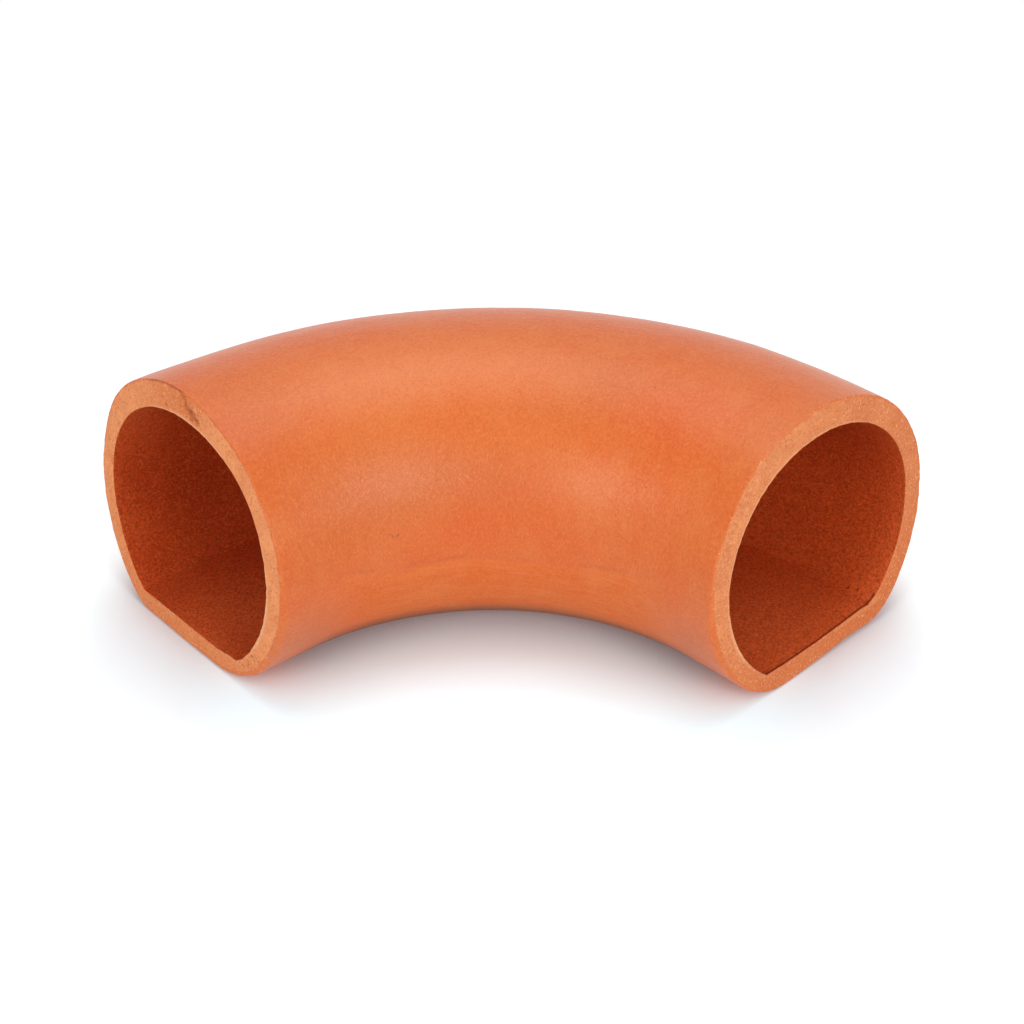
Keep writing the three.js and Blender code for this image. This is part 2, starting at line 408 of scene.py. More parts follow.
def ripple(points, period, seed):
    """Smooth random values, from about -1 to 1, that change over a period in millimetres."""
    shift = Vector((seed * 17.3, seed * 5.1, seed * 9.7))
    scaled = (np.asarray(points) / period).reshape(-1, 3).tolist()
    return np.array([noise.noise(Vector(p) + shift) for p in scaled]).reshape(points.shape[:-1])


def patches(along, degrees, table):
    """How strongly each point lies in any of a table's soft patches."""
    total = np.zeros(along.shape)
    for at_along, at_degrees, reach, reach_degrees, strength in table:
        turned = (degrees - at_degrees + 180) % 360 - 180
        total += strength * np.exp(-((along - at_along) / reach) ** 2 - (turned / reach_degrees) ** 2)
    return np.clip(total, 0, 1)


def near_path(points, path):
    """How close each point is to a path of straight pieces, whose last value is its width."""
    path = np.array(path, float)
    best = np.zeros(points.shape[:-1])
    for start, end in zip(path, path[1:]):
        step = (end - start)[:-1]
        share = np.clip(((points - start[:-1]) @ step) / (step @ step), 0, 1)
        width = start[-1] + share * (end[-1] - start[-1])
        away = np.linalg.norm(points - start[:-1] - share[..., None] * step, axis=-1)
        best = np.maximum(best, np.exp(-(away / width) ** 2))
    return best


def weather(straight, level, from_edge, lies_on, shape, waviness):
    """How far each point stands out of a true surface, in millimetres, and where each mark lies.

    from_edge is how far each point is past the skin's edge on the cut face, or short of it.
    """
    along, across, up = np.moveaxis(straight, -1, 0)
    from_end = shape.half_run - np.abs(level)
    left, right = level < 0, level > 0
    on_skin, on_cut, in_bore = (lies_on == kind for kind in (SKIN, CUT, BORE))
    degrees = np.degrees(np.arctan2(up - shape.centre, across)) % 360

    # the skin came away where the pipe stood, at the left end's heel and up the right end's near wall
    from_edge = (from_edge + 3 * smooth(up, 5, 1.5)
                 + 2.2 * left * smooth(degrees, 200, 215) * smooth(degrees, 262, 246)
                 + 0.7 * right * smooth(degrees, 108, 125) * smooth(degrees, 200, 180))

    swell = ripple(straight, 46, 1) + 0.45 * ripple(straight, 15, 2) + 0.22 * ripple(straight, 5.5, 3)
    swell *= np.where(on_skin, 0.35 + 0.65 * smooth(up, 2, 14), 1)  # it stood flat while it dried
    crumb = ripple(straight, 2.6, 4) + 0.6 * ripple(straight, 1.3, 5)
    lift = waviness * swell + 0.02 * crumb
    lift += np.interp(along, *zip(*CROWN_SWELL)) * np.exp(-((degrees - 55) / 35) ** 2) * on_skin

    # the joint: a fine groove, and the clay below it a little proud, scraped and rubbed
    joint_up = np.interp(along, *zip(*SEAM)) + 0.7 * ripple(straight * [1, 0, 0], 9, 6)
    reach = smooth(np.abs(along), 118, 70) * on_skin * (across < -30)
    shows = smooth(ripple(straight * [1, 0, 0], 19, 7), -0.35, 0.3)
    above = up - joint_up
    joint = np.exp(-((above - 0.9) / 0.7) ** 2) * reach * shows
    proud = smooth(above, 0.6, -1.6) * smooth(above, -15, -3) * reach * (0.35 + 0.65 * shows)
    rubbed = np.exp(-((above + 3.2) / 2.4) ** 2) * reach * (0.25 + 0.75 * shows)
    scraped = smooth(above, 0.5, -2) * reach * smooth(up, 2, 9)
    lift += 0.16 * proud - 0.07 * joint

    # crumbled edges of the two cuts, worst at the crown and heel of the left end
    at_edge = np.exp(-(from_edge / 1.4) ** 2) * ~in_bore
    crown = np.exp(-((across + 4) / 17) ** 2) * smooth(up, 85, 100) * left
    heel = np.exp(-(np.hypot(across + 40, up - 14) / 11) ** 2) * left
    ragged = ripple(straight, 3.2, 8) + 0.7 * ripple(straight, 1.7, 9)
    lift += at_edge * ragged * (0.05 + 0.13 * smooth(up, 12, 40) + 0.4 * crown + 0.5 * heel)

    # the bore's arris, worn and finely nicked
    at_arris = np.exp(-(from_end / 0.9) ** 2) * (in_bore | (on_cut & (from_edge > 5)))
    to_bore = np.hypot(across, up - shape.centre) - shape.bore_radius
    to_bore = np.where(up < shape.centre - shape.floor_depth + 2, shape.base_wall - up, to_bore)
    at_arris = at_arris * np.exp(-(np.maximum(to_bore, 0) / 0.9) ** 2)
    nicks = np.minimum(ripple(straight, 2.9, 10) + 0.5 * ripple(straight, 1.5, 11), 0.15)
    nicked = at_arris * nicks * (left * np.exp(-((across + 13) / 11) ** 2) * (up < 14))
    worst = left * (0.3 + 0.7 * smooth(degrees, 215, 250)) * smooth(degrees, 130, 190)
    lift += at_arris * nicks * (0.2 + 0.9 * worst) + nicked

    # the wire dragged a fine lip along the floor of the right end, with a dark line behind it
    behind = np.exp(-((from_end - 0.95) / 0.42) ** 2) * right * in_bore * (degrees > 228) * (degrees < 313)
    behind = behind * smooth(ripple(straight * [0, 1, 0], 6, 12), -0.6, -0.1)
    notch = np.exp(-((from_end - 1.3) / 0.9) ** 2) * right * in_bore * (up < 14) * np.maximum.reduce(
        [np.exp(-((across - place) / 0.8) ** 2) for place in (-21, -11.8, 29.5)])
    lift -= 0.22 * behind + 0.35 * notch

    # the torn crown of the left end, the loose flake beside the tear, and the crease along its edge
    frayed = straight[..., 1:] + 0.9 * np.stack([ripple(straight, 2.2, 13), ripple(straight, 2.2, 14)], -1)
    torn = left * smooth(from_end, 3.2, 1.4)
    tear = near_path(frayed, CROWN_TEAR) * torn
    crack = near_path(frayed, CROWN_CRACK) * torn
    flake = np.exp(-(np.hypot(across + 7.5, up - 106.6) / 2.6) ** 2) * torn
    lift += -0.8 * tear - 0.4 * crack + 0.45 * flake * (1 - tear) + 0.25 * tear * ragged
    crease = np.exp(-((from_edge + 0.1) / 0.4) ** 2) * left
    crease = crease * smooth(degrees, 62, 70) * smooth(degrees, 93, 86)
    torn_tone = tear * (0.6 + 0.4 * smooth(ragged, -0.1, -0.45))

    marks = {
        "from_edge": from_edge,
        "joint": joint,
        "rubbed": rubbed,
        "scraped": scraped,
        "crevice": np.clip(np.maximum.reduce([torn_tone, 0.5 * crack, 0.7 * crease, 0.9 * behind,
                                              0.8 * notch, -1.1 * nicked]), 0, 1),
        "pale": patches(along, degrees, SKIN_PALE_AND_HIGHLIGHT),
        "deep_orange_and_shade": patches(along, degrees, SKIN_DEEP_ORANGE_AND_SHADE),
        "brown_and_shade": patches(along, degrees, SKIN_BROWN_AND_SHADE),
        # painted shade: a dark band at the foot of the bend's inside, where the pipe meets the floor
        "foot_shade_band": (0.8 * smooth(degrees, 207, 224) * smooth(degrees, 250, 235)
                   * smooth(np.abs(along), 128, 100)),
        "painted_light": patches(along, degrees, BORE_PAINTED_LIGHT),
        "dense": patches(along, degrees, BORE_DENSE),
        "crumbled": np.clip(np.maximum(0.45 * crown, heel) * smooth(from_end, 3, 1), 0, 1),
        # the bore's worn arris with a painted highlight, most on the inside of the bend and at the left end's
        # crown
        "arris": np.clip(at_arris ** 3 * (0.25 + 0.75 * smooth(degrees, 95, 130) * smooth(degrees, 225, 200)
                                          + 0.5 * left * np.exp(-((degrees - 80) / 30) ** 2)), 0, 1),
    }
    return lift, marks


def build_pipe(shape, finish):
    """The pipe as one closed mesh of quads."""
    outer, bore = shape.section()
    degrees = np.degrees(np.arctan2(bore[:, 1] - shape.centre, bore[:, 0])) % 360
    ends = {side: {name: around(table, degrees) for name, table in tables.items()}
            for side, tables in END_SHAPE.items()}
    rings = shape.rings({side: ends[side]["rounding"] for side in ends})
    level, share, skin_depth, bore_depth, lies_on = (
        np.array([np.broadcast_to(ring[part], len(outer)) for ring in rings]) for part in range(5))
    from_end = shape.half_run - np.abs(level)
    skin_lift, bore_lift, rounding, red, smoothed = (
        np.where(level < 0, ends[LEFT][name], ends[RIGHT][name])
        for name in ("skin", "bore", "rounding", "red", "smooth"))
    skin_lift = skin_lift * smooth(from_end, SKIN_REACH, 0) - skin_depth
    bore_lift = bore_lift * smooth(from_end, BORE_REACH, 0)
    spokes = (bore - [0, shape.centre]) / np.linalg.norm(bore - [0, shape.centre], axis=1, keepdims=True)
    skin_side = outer + outward(outer) * skin_lift[..., None]
    bore_side = bore + spokes * bore_lift[..., None] + outward(bore) * bore_depth[..., None]
    section = bore_side + share[..., None] * (skin_side - bore_side)
    wall = np.linalg.norm(skin_side - bore_side, axis=-1)
    turned = np.arccos(np.clip(1 - skin_depth / rounding, 0, 1))  # angle passed around the rounding
    short = np.maximum(from_end - rounding, 0) + rounding * (math.pi / 2 - turned)
    from_edge = np.where(lies_on == SKIN, -short, (1 - share) * wall)

    across, up = section[..., 0], section[..., 1]
    place = shape.bend(level, across, up)
    along = level - level / shape.half_run * up * shape.lean
    straight = np.stack([along, across, up], -1)
    lift, marks = weather(straight, level, from_edge, lies_on, shape, finish.waviness / MM)
    marks.update(red=np.clip(red, 0, 1), smooth=np.clip(smoothed, 0, 1))
    place = place + grid_normals(place) * lift[..., None]
    place[..., 2] = np.maximum(place[..., 2], 0)  # the base stays flat on the floor

    ring_count, columns = up.shape
    index = np.arange(ring_count * columns).reshape(ring_count, columns)
    ahead, beside = np.roll(index, -1, 0), np.roll(index, -1, 1)
    quads = np.stack([index, beside, np.roll(ahead, -1, 1), ahead], -1).reshape(-1, 4)
    mesh = bpy.data.meshes.new("clay_pipe_bend")
    mesh.from_pydata((place * MM).reshape(-1, 3).tolist(), [], quads.tolist())
    kind = np.where(lies_on == np.roll(lies_on, -1, 0), lies_on, CUT)
    mesh.polygons.foreach_set("material_index", kind.reshape(-1).astype(np.int32))
    mesh.polygons.foreach_set("use_smooth", np.ones(len(quads), bool))
    stored = mesh.attributes.new("straight_mm", "FLOAT_VECTOR", "POINT")
    stored.data.foreach_set("vector", straight.reshape(-1).astype(np.float32))
    for name, values in marks.items():
        stored = mesh.attributes.new(name, "FLOAT", "POINT")
        stored.data.foreach_set("value", values.reshape(-1).astype(np.float32))
    mesh.validate()
    mesh.update()
    return mesh


# ------------------------------------------------------------------------------------- materials

MIX_A, MIX_B, MIX_OUT = 6, 7, 2  # the colour sockets of a Mix node

# How a level rises. Each level of a material is (what it follows, where it starts and ends on that,
# its least and its most, how it rises), and one that starts above its end rises as that falls.
EVEN, EASED = "LINEAR", "SMOOTHSTEP"

PATTERN_SHIFT = 7.3  # from each pattern to the next, so that no two are alike

# The clay's patterns: how far apart their features are in millimetres, their detail, roughness and
# distortion, and how far they are drawn out along the run
PATTERNS = {
    "firing": (34, 3, 0.55, 0, 1),       # heat of the kiln and bloom of salts, over the whole pipe
    "patches": (8, 2, 0.5, 0, 1),
    "swirls": (3.1, 1, 0.5, 0.5, 1.3),  # slow leathery folds of the drawn skin
    "puckers": (1.1, 1.5, 0.5, 0.8, 1),  # fine folds of about 0.5 mm, drawn coarser so that they show
    "streaks": (1.2, 2, 0.5, 0, 14),     # scraped along the run
    "sand": (0.85, 3, 0.65, 0, 1),       # grains of about 0.4 mm, drawn coarser so that they show
    "grit": (1.0, 4, 0.75, 0.3, 1),
    "pores": (1.4, 1, 0.5, 0, 1),
    "crumbs": (1.7, 3, 0.6, 0, 1),
}


def add_node(tree, kind, inputs=None, **settings):
    """Adds a shader node with its settings, and fills its inputs with values or links."""
    node = tree.nodes.new("ShaderNode" + kind)
    for name, value in settings.items():
        setattr(node, name, value)
    for key, value in (inputs or {}).items():
        if isinstance(value, bpy.types.NodeSocket):
            tree.links.new(value, node.inputs[key])
        else:
            node.inputs[key].default_value = value
    return node


def new_clay(name, patterns, marks, levels):
    """A material with its node tree, and its patterns, the mesh's marks and its levels as values."""
    material = bpy.data.materials.new(name)
    material.use_nodes = True
    tree = material.node_tree
    tree.nodes.clear()
    straight = add_node(tree, "Attribute", attribute_name="straight_mm").outputs["Vector"]
    clay = {"straight": straight}
    for pattern in patterns:
        period, detail, roughness, distortion, drawn = PATTERNS[pattern]
        shift = PATTERN_SHIFT * list(PATTERNS).index(pattern)
        place = add_node(tree, "VectorMath", {0: straight, 1: (1 / (period * drawn), 1 / period, 1 / period),
                                              2: (shift, shift, shift)}, operation="MULTIPLY_ADD")
        clay[pattern] = add_node(tree, "TexNoise", {
            "Vector": place.outputs["Vector"], "Scale": 1.0, "Detail": detail, "Roughness": roughness,
            "Distortion": distortion}).outputs["Fac"]
    for mark in marks:
        clay[mark] = add_node(tree, "Attribute", attribute_name=mark).outputs["Fac"]
    if "crumbs" in patterns:  # the skin breaks off raggedly where the wire cut through it
        clay["jagged"] = add_node(tree, "Math", {0: clay["crumbs"], 1: 2.2, 2: clay["from_edge"]},
                                  operation="MULTIPLY_ADD").outputs[0]
    for key, (source, start, end, least, most, easing) in levels.items():
        clay[key] = add_node(tree, "MapRange", {
            "Value": clay[source], "From Min": start, "From Max": end, "To Min": least,
            "To Max": most}, interpolation_type=easing).outputs["Result"]
    return material, tree, clay


def coat(tree, base, layers, relief, roughness, specular):
    """Lays the clay's colours over one another by their shares, over its relief in millimetres."""
    tone = tuple(base)
    for share, shade in layers:
        tone = add_node(tree, "Mix", {0: share, MIX_A: tone, MIX_B: tuple(shade)},
                        data_type="RGBA").outputs[MIX_OUT]
    height = 0.0
    for value, depth in relief:
        height = add_node(tree, "Math", {0: value, 1: depth, 2: height},
                          operation="MULTIPLY_ADD").outputs[0]
    normal = add_node(tree, "Bump", {"Height": height, "Distance": MM, "Strength": 1.0})
    surface = add_node(tree, "BsdfPrincipled", {
        "Base Color": tone, "Normal": normal.outputs["Normal"], "Roughness": roughness,
        "Specular IOR Level": specular})
    add_node(tree, "OutputMaterial", {"Surface": surface.outputs["BSDF"]})


def scratch(tree, straight, flecks, facing_along=False):
    """The dark and the pale flecks of a list, each as a value from 0 to 1."""
    wobble = add_node(tree, "TexNoise", {"Vector": straight, "Scale": 1.1, "Detail": 1.0})
    bent = add_node(tree, "VectorMath", {0: wobble.outputs["Color"], 1: (0.9, 0.9, 0.9), 2: straight},
                    operation="MULTIPLY_ADD")
    bent = add_node(tree, "VectorMath", {0: bent.outputs["Vector"], 1: (0.45, 0.45, 0.45)},
                    operation="SUBTRACT")
    found = {True: 0.0, False: 0.0}
    for start, end, half_width, strength in flecks:
        start, end = Vector(start), Vector(end)
        middle = (start + end) / 2
        out = Vector((1, 0, 0)) if facing_along else Vector((0, middle.y, middle.z - 50)).normalized()
        run = (end - start) - (end - start).dot(out) * out
        half_length = run.length / 2 + half_width
        run.normalize()
        frame_of_fleck = Matrix((run, out.cross(run), out)).transposed()
        inside = add_node(tree, "Mapping", {
            "Vector": bent.outputs["Vector"], "Location": middle, "Rotation": frame_of_fleck.to_euler(),
            "Scale": (half_length, half_width, 3.0)}, vector_type="TEXTURE")
        away = add_node(tree, "VectorMath", {0: inside.outputs["Vector"]}, operation="LENGTH")
        shown = add_node(tree, "MapRange", {"Value": away.outputs["Value"], "From Min": 0.5, "From Max": 1.25,
                                            "To Min": abs(strength), "To Max": 0.0},
                         interpolation_type="SMOOTHSTEP")
        dark = strength > 0
        found[dark] = add_node(tree, "Math", {0: shown.outputs["Result"], 1: found[dark]},
                               operation="MAXIMUM").outputs[0]
    return found[True], found[False]


def extruded_skin(finish):
    """Terracotta, drawn through a die: its fine particles lie flat and give a soft, waxy sheen."""
    material, tree, clay = new_clay(
        "Terracotta, extruded skin",
        ("firing", "patches", "swirls", "puckers", "streaks", "sand", "crumbs"),
        ("from_edge", "joint", "rubbed", "scraped", "crevice", "pale", "deep_orange_and_shade", "brown_and_shade", "foot_shade_band"),
        {"fired": ("firing", 0.38, 0.62, 0, 1, EASED), "bloom": ("patches", 0.4, 0.7, 0, 0.16, EASED),
         "low": ("puckers", 0.5, 0.3, 0, 0.24, EVEN), "high": ("puckers", 0.5, 0.7, 0, 0.34, EVEN),
         "streak": ("streaks", 0.42, 0.7, 0, 0.3, EASED), "near": ("from_edge", -2.2, -0.2, 0, 0.16, EVEN),
         "broken": ("jagged", 0.85, 1.35, 0, 1, EASED)})
    dark, pale = scratch(tree, clay["straight"], SKIN_FLECKS)

    # below the joint of the forming box the clay was scraped along the run, and its edge rubbed pale
    streak = add_node(tree, "Math", {0: clay["streak"], 1: clay["scraped"]}, operation="MULTIPLY").outputs[0]
    rub = add_node(tree, "Math", {0: clay["rubbed"], 1: 0.22, 2: streak}, operation="MULTIPLY_ADD",
                   use_clamp=True)
    line = add_node(tree, "Math", {0: clay["joint"], 1: 0.3}, operation="MULTIPLY")

    # grains that broke out of the skin beside the cut
    chips = add_node(tree, "Math", {0: clay["sand"], 1: clay["near"]})
    chipped = add_node(tree, "MapRange", {"Value": chips.outputs[0], "From Min": 0.76, "From Max": 0.82,
                                          "To Max": 0.7}, interpolation_type=EASED)
    nicked = add_node(tree, "Math", {0: clay["crevice"], 1: dark}, operation="MAXIMUM")
    matt = add_node(tree, "Math", {0: clay["scraped"], 1: clay["broken"]}, operation="MAXIMUM")
    roughness = add_node(tree, "MapRange", {"Value": matt.outputs[0], "To Min": 0.32, "To Max": 0.6})
    coat(tree, finish.skin_deep, (
        # wide soft clouds and smaller patches, as from the kiln's heat and a bloom of salts, then soft
        # patches that also hold painted highlight and painted shade
        (clay["fired"], finish.skin_pale), (clay["bloom"], finish.skin_dust_and_highlight),
        (clay["pale"], finish.skin_dust_and_highlight), (clay["deep_orange_and_shade"], finish.skin_deep_orange_and_shade),
        (clay["brown_and_shade"], finish.skin_brown_and_shade),
        # fine leathery puckers: shade between them, dust on top
        (clay["low"], finish.skin_shade), (clay["high"], finish.skin_dust_and_highlight),
        (rub.outputs[0], finish.skin_dust_and_highlight), (line.outputs[0], finish.skin_shade),
        (clay["broken"], finish.cut_fresh), (chipped.outputs["Result"], finish.cut_sand_and_highlight),
        (pale, finish.cut_sand_and_highlight), (nicked.outputs[0], finish.crevice),
        # painted shade at the foot of the bend's inside
        (clay["foot_shade_band"], finish.painted_foot_shade),
    ), ((clay["puckers"], finish.pucker_depth / MM), (clay["swirls"], 0.16), (streak, 0.2), (dark, -0.2)),
        roughness=roughness.outputs["Result"], specular=0.4)
    return material


def wire_cut_end(finish):
    """Terracotta, cut by wire while soft: open, sandy and matt, with pinholes and a worn arris with a painted
    highlight.
    """
    material, tree, clay = new_clay(
        "Terracotta, wire-cut end", ("patches", "swirls", "sand", "grit", "pores", "crumbs"),
        ("from_edge", "crevice", "crumbled", "arris", "red", "smooth"),
        {"cloud": ("patches", 0.35, 0.65, 0, 0.35, EASED), "redder": ("swirls", 0.5, 0.72, 0, 0.4, EASED),
         "grains": ("sand", 0.53, 0.7, 0, 0.8, EASED), "between": ("grit", 0.47, 0.32, 0, 0.7, EASED),
         "limit": ("crumbled", 0, 1, 0.27, 0.4, EVEN), "deep": ("crumbled", 0, 1, 0.4, 0.6, EVEN),
         "kept": ("jagged", 1.35, 0.85, 0, 1, EASED), "worn": ("crumbs", 0.3, 0.6, 0.5, 1, EVEN)})
    dark, pale = scratch(tree, clay["straight"], CUT_FLECKS, facing_along=True)
    # painted shade: the right end's red darkens that cut face, with random red clouds over both ends
    cloud = add_node(tree, "Math", {0: clay["red"], 1: 0.75, 2: clay["cloud"]}, operation="MULTIPLY_ADD",
                     use_clamp=True)

    # pinholes: few and faint, except where the edge crumbled
    hole = add_node(tree, "Math", {0: clay["limit"], 1: clay["pores"]}, operation="SUBTRACT")
    hole = add_node(tree, "MapRange", {"Value": hole.outputs[0], "From Min": 0.0, "From Max": 0.05},
                    interpolation_type=EASED)
    hole = add_node(tree, "Math", {0: hole.outputs["Result"], 1: clay["deep"]}, operation="MULTIPLY")

    # the skin's ragged edge, the worn arris of the bore, pale with a painted highlight, and the tears and
    # nicks
    worn = add_node(tree, "Math", {0: clay["worn"], 1: clay["arris"]}, operation="MULTIPLY")
    pale = add_node(tree, "Math", {0: worn.outputs[0], 1: pale}, operation="MAXIMUM")
    nicked = add_node(tree, "Math", {0: clay["crevice"], 1: dark}, operation="MAXIMUM")
    coat(tree, finish.cut_sandy, (
        (cloud.outputs[0], finish.cut_deep_and_shade), (clay["smooth"], finish.cut_fresh),
        (clay["redder"], finish.cut_fresh), (clay["grains"], finish.cut_sand_and_highlight),
        (clay["between"], finish.skin_shade), (hole.outputs[0], finish.crevice),
        (clay["kept"], finish.skin_pale), (pale.outputs[0], finish.cut_sand_and_highlight),
        (nicked.outputs[0], finish.crevice),
    ), ((clay["grit"], finish.grain_depth / MM), (hole.outputs[0], -0.25)),
        roughness=0.75, specular=0.35)
    return material


def pipe_bore(finish):
    """Terracotta, dragged by the core: rough, dull and grainy, and redder than the skin."""
    material, tree, clay = new_clay(
        "Terracotta, bore", ("firing", "swirls", "grit", "sand"), ("crevice", "painted_light", "dense"),
        {"low": ("grit", 0.62, 0.38, 0, 0.6, EVEN), "high": ("sand", 0.52, 0.66, 0, 0.42, EVEN)})
    dark, pale = scratch(tree, clay["straight"], BORE_FLECKS)
    # painted light: the bore's clay paler towards the right end, which is lit more inside
    along = add_node(tree, "SeparateXYZ", {0: clay["straight"]}).outputs["X"]
    right_painted_light = add_node(tree, "MapRange", {"Value": along, "From Min": -60, "From Max": 110, "To Max": 0.3},
                       interpolation_type=EASED)  # towards the right end, which looks brighter inside
    fired = add_node(tree, "Math", {0: clay["firing"], 1: right_painted_light.outputs["Result"]})
    fired = add_node(tree, "MapRange", {"Value": fired.outputs[0], "From Min": 0.4, "From Max": 0.75},
                     interpolation_type=EASED)
    nicked = add_node(tree, "Math", {0: clay["crevice"], 1: dark}, operation="MAXIMUM")
    coat(tree, finish.bore_deep, (
        (fired.outputs["Result"], finish.bore_pale), (clay["dense"], finish.bore_dense),
        # painted light at the mouths of the bore
        (clay["painted_light"], finish.bore_painted_light), (clay["low"], finish.bore_shade),
        (clay["high"], finish.bore_dust), (pale, finish.bore_dust), (nicked.outputs[0], finish.bore_shade),
    ), ((clay["grit"], finish.grain_depth / MM), (clay["swirls"], 0.4)), roughness=0.85, specular=0.08)
    return material


# ------------------------------------------------------------------------------------- operators

class OBJECT_OT_clay_pipe_bend(bpy.types.Operator):
    """Add the terracotta pipe bend in place of its plain solid"""

    bl_idname = "object.clay_pipe_bend_add"
    bl_label = "Add Clay Pipe Bend"
    bl_options = {"REGISTER", "UNDO"}

    def execute(self, context):
        finish = context.scene.clay_pipe_finish
        shape = PipeShape(context.scene.clay_pipe_sizes)
        mesh = build_pipe(shape, finish)
        if not len(mesh.polygons):
            raise RuntimeError("The pipe came out with no faces")
        for finished in (extruded_skin, wire_cut_end, pipe_bore):
            mesh.materials.append(finished(finish))
        pipe = bpy.data.objects.new("clay_pipe_bend", mesh)
        context.collection.objects.link(pipe)
        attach(pipe, "root")
        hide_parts(PIPE_NODE)
        return {"FINISHED"}


# The tint of the paper as the camera has it, a painted shadow over the pipe's own, with the clay's glow
# on it taken back: inside the bend and outside it, each from where the pipe covers it to where it lies
# open, and away from the pipe
FLOOR_INSIDE = (0.84, 0.72, 0.73, 1.0), (1.15, 1.43, 1.53, 1.0)
FLOOR_OUTSIDE = (0.84, 0.88, 0.92, 1.0), (1.19, 1.27, 1.31, 1.0)
FLOOR_FAR = (1.23, 1.35, 1.39, 1.0)
# Where those tints meet: by how open the air above is, then by metres from the middle of the bend
OPEN_REACH, OPEN_INSIDE, OPEN_OUTSIDE = 0.09, (0.14, 0.46), (0.58, 0.9)
BEND_MIDDLE = (0, -0.06, 0)
PAST_BEND, PAST_SHADOW, PAST_PAPER = (0.092, 0.128), (0.15, 0.176), (0.26, 0.5)

CAMERA_TARGET = (1.495, -4.28, 28.68)  # mm
CAMERA_AZIMUTH, CAMERA_ELEVATION, CAMERA_ROLL, CAMERA_DISTANCE = 0.047, 0.6326, -0.0052, 734.42


def look(place, target, roll=0.0):
    """A matrix that stands at place and looks at target, with its own axis rolled."""
    back = (place - target).normalized()
    right = Vector((0, 0, 1)).cross(back).normalized()
    turned = right * math.cos(roll) + back.cross(right) * math.sin(roll)
    up = back.cross(turned)
    matrix = Matrix((turned, up, back)).transposed().to_4x4()
    matrix.translation = place
    return matrix


def bearing(azimuth, elevation):
    """A direction: azimuth 0 is the front, -Y, and turns towards +X."""
    return Vector((math.sin(azimuth) * math.cos(elevation), -math.cos(azimuth) * math.cos(elevation),
                   math.sin(elevation)))


def seen_rays(tree):
    """1 for the rays of the camera, of reflections and through glass, and 0 for those of light."""
    ray = add_node(tree, "LightPath").outputs
    seen = ray["Is Camera Ray"]
    for other in ("Is Glossy Ray", "Is Transmission Ray"):
        seen = add_node(tree, "Math", {0: seen, 1: ray[other]}, operation="MAXIMUM").outputs[0]
    return seen


MIDDLE = Vector((0, -0.03, 0.05))  # of the pipe, which the lamps around it face
# Each softbox's place, what it faces and its sides, in metres
SOFTBOXES = {
    "overhead": ((-0.15, 0.22, 1.25), (-0.15, 0.23, 0.05), (0.9, 0.75)),
    "overhead_right": ((0.4, 0.2, 1.2), (0.3, 0.21, 0.05), (0.5, 0.75)),
    "back": ((-0.1, 0.55, 1.25), (-0.1, 0.1, 0.05), (1.4, 0.6)),
    "left": (MIDDLE + bearing(math.radians(-36), math.radians(25)) * 1.2, MIDDLE, (0.42, 0.45)),
    "right": (MIDDLE + bearing(math.radians(33), math.radians(27)) * 1.2, MIDDLE, (0.36, 0.55)),
    "front": (MIDDLE + bearing(0, math.radians(12)) * 1.3, MIDDLE, (1.6, 0.3)),
    "side": (MIDDLE + bearing(math.radians(62), math.radians(15)) * 1.3, MIDDLE, (0.9, 0.5)),
}


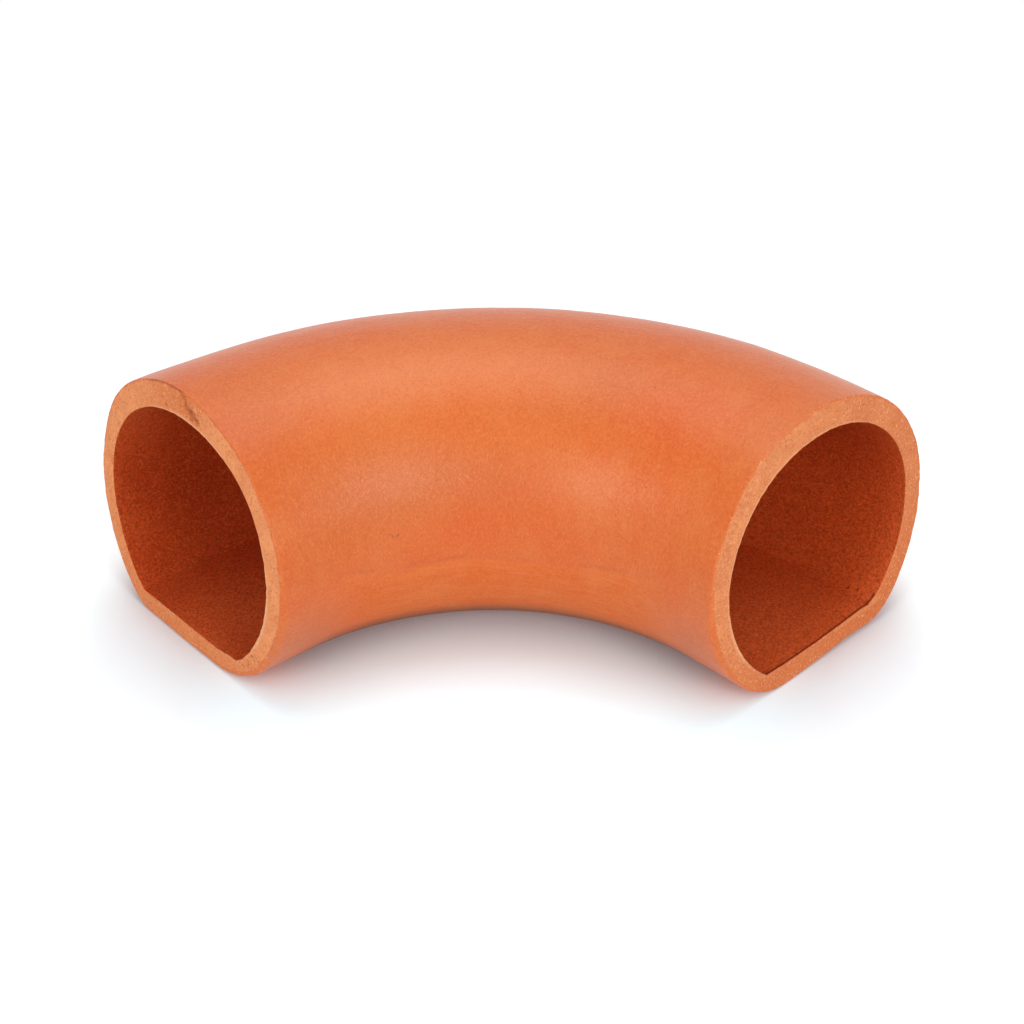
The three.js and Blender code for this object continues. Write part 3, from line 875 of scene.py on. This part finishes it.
class SCENE_OT_clay_pipe_studio(bpy.types.Operator):
    """Add the pale floor, the soft lamps and the camera"""

    bl_idname = "scene.clay_pipe_studio_add"
    bl_label = "Add Studio"
    bl_options = {"REGISTER", "UNDO"}

    def execute(self, context):
        scene, studio = context.scene, context.scene.clay_pipe_studio
        self.add_floor(context, studio)
        self.add_world(scene, studio)
        for name, (place, target, size) in SOFTBOXES.items():
            self.add_softbox(context, name, Vector(place), Vector(target), size, getattr(studio, name))
        data = bpy.data.cameras.new("camera")
        data.sensor_fit, data.sensor_width, data.lens = "HORIZONTAL", 36, studio.lens
        camera = bpy.data.objects.new("camera", data)
        context.collection.objects.link(camera)
        target = Vector(CAMERA_TARGET) * MM
        place = target + bearing(CAMERA_AZIMUTH, CAMERA_ELEVATION) * CAMERA_DISTANCE * MM
        camera.matrix_world = look(place, target, CAMERA_ROLL)
        scene.camera = camera
        scene.view_settings.view_transform = "Standard"
        return {"FINISHED"}

    def add_softbox(self, context, name, place, target, size, level):
        """A softbox whose face has the given brightness, where 1 is white."""
        lamp = bpy.data.lights.new(name, "AREA")
        lamp.shape, lamp.size, lamp.size_y = "RECTANGLE", size[0], size[1]
        lamp.energy = level * math.pi * size[0] * size[1]
        softbox = bpy.data.objects.new(name, lamp)
        context.collection.objects.link(softbox)
        softbox.matrix_world = look(place, target)
        softbox.visible_camera = False

    def add_world(self, scene, studio):
        world = bpy.data.worlds.new("studio_dome")
        world.use_nodes = True
        tree = world.node_tree
        tree.nodes.clear()
        level = add_node(tree, "MapRange", {"Value": seen_rays(tree), "To Min": studio.dome, "To Max": 1.0})
        light = add_node(tree, "Background", {"Color": (1, 1, 1, 1), "Strength": level.outputs["Result"]})
        add_node(tree, "OutputWorld", {"Surface": light.outputs["Background"]})
        scene.world = world

    def add_floor(self, context, studio):
        half = studio.floor_size / 2
        mesh = bpy.data.meshes.new("studio_floor")
        mesh.from_pydata([(-half, -half, 0), (half, -half, 0), (half, half, 0), (-half, half, 0)], [],
                         [(0, 1, 2, 3)])
        material = bpy.data.materials.new("Matt paper")
        material.use_nodes = True
        tree = material.node_tree
        tree.nodes.clear()
        seen = seen_rays(tree)
        # painted shadow: the paper darkens close under the pipe, by how open the air above it is, and away
        # from it runs on into the studio's white
        open_air = add_node(tree, "AmbientOcclusion", {"Distance": OPEN_REACH}, samples=8).outputs["AO"]
        place = add_node(tree, "NewGeometry").outputs["Position"]
        away = add_node(tree, "VectorMath", {0: place, 1: BEND_MIDDLE}, operation="DISTANCE").outputs["Value"]
        inside, outside, beyond, far, white = (
            add_node(tree, "MapRange", {"Value": value, "From Min": start, "From Max": end},
                     interpolation_type=easing).outputs["Result"]
            for value, (start, end), easing in (
                (open_air, OPEN_INSIDE, EVEN), (open_air, OPEN_OUTSIDE, EVEN), (away, PAST_BEND, EASED),
                (away, PAST_SHADOW, EASED), (away, PAST_PAPER, EASED)))
        inside, outside = (
            add_node(tree, "Mix", {0: share, MIX_A: covered, MIX_B: bare}, data_type="RGBA").outputs[MIX_OUT]
            for share, (covered, bare) in ((inside, FLOOR_INSIDE), (outside, FLOOR_OUTSIDE)))
        tone = inside
        for share, over in ((beyond, outside), (far, FLOOR_FAR)):
            tone = add_node(tree, "Mix", {0: share, MIX_A: tone, MIX_B: over},
                            data_type="RGBA").outputs[MIX_OUT]
        shown = add_node(tree, "Mix", {0: seen, MIX_A: tuple(studio.floor_colour), MIX_B: tone},
                         data_type="RGBA")
        paper = add_node(tree, "BsdfDiffuse", {"Color": shown.outputs[MIX_OUT]})
        white = add_node(tree, "Math", {0: white, 1: seen}, operation="MULTIPLY")
        glow = add_node(tree, "Emission", {"Color": (1, 1, 1, 1), "Strength": 1.0})
        surface = add_node(tree, "MixShader", {0: white.outputs[0], 1: paper.outputs["BSDF"],
                                               2: glow.outputs["Emission"]})
        add_node(tree, "OutputMaterial", {"Surface": surface.outputs["Shader"]})
        mesh.materials.append(material)
        floor = bpy.data.objects.new("studio_floor", mesh)
        context.collection.objects.link(floor)


class VIEW3D_PT_clay_pipe(bpy.types.Panel):
    """Sizes, finish and studio of the clay pipe bend"""

    bl_label = "Clay Pipe Bend"
    bl_idname = "VIEW3D_PT_clay_pipe"
    bl_space_type = "VIEW_3D"
    bl_region_type = "UI"
    bl_category = "Clay Pipe"

    def draw(self, context):
        for operator, group in ((OBJECT_OT_clay_pipe_bend, "clay_pipe_sizes"), (None, "clay_pipe_finish"),
                                (SCENE_OT_clay_pipe_studio, "clay_pipe_studio")):
            box = self.layout.box()
            settings = getattr(context.scene, group)
            for name in settings.__annotations__:
                box.prop(settings, name)
            if operator:
                box.operator(operator.bl_idname)


CLASSES = (ClayPipeSizes, ClayPipeFinish, ClayPipeStudio, OBJECT_OT_clay_pipe_bend,
           SCENE_OT_clay_pipe_studio, VIEW3D_PT_clay_pipe)


def register():
    for cls in CLASSES:
        bpy.utils.register_class(cls)
    bpy.types.Scene.clay_pipe_sizes = bpy.props.PointerProperty(type=ClayPipeSizes)
    bpy.types.Scene.clay_pipe_finish = bpy.props.PointerProperty(type=ClayPipeFinish)
    bpy.types.Scene.clay_pipe_studio = bpy.props.PointerProperty(type=ClayPipeStudio)


def unregister():
    del bpy.types.Scene.clay_pipe_studio
    del bpy.types.Scene.clay_pipe_finish
    del bpy.types.Scene.clay_pipe_sizes
    for cls in reversed(CLASSES):
        bpy.utils.unregister_class(cls)


def main():
    register()
    bpy.ops.object.clay_pipe_bend_add()
    bpy.ops.scene.clay_pipe_studio_add()


if __name__ == "__main__":
    main()
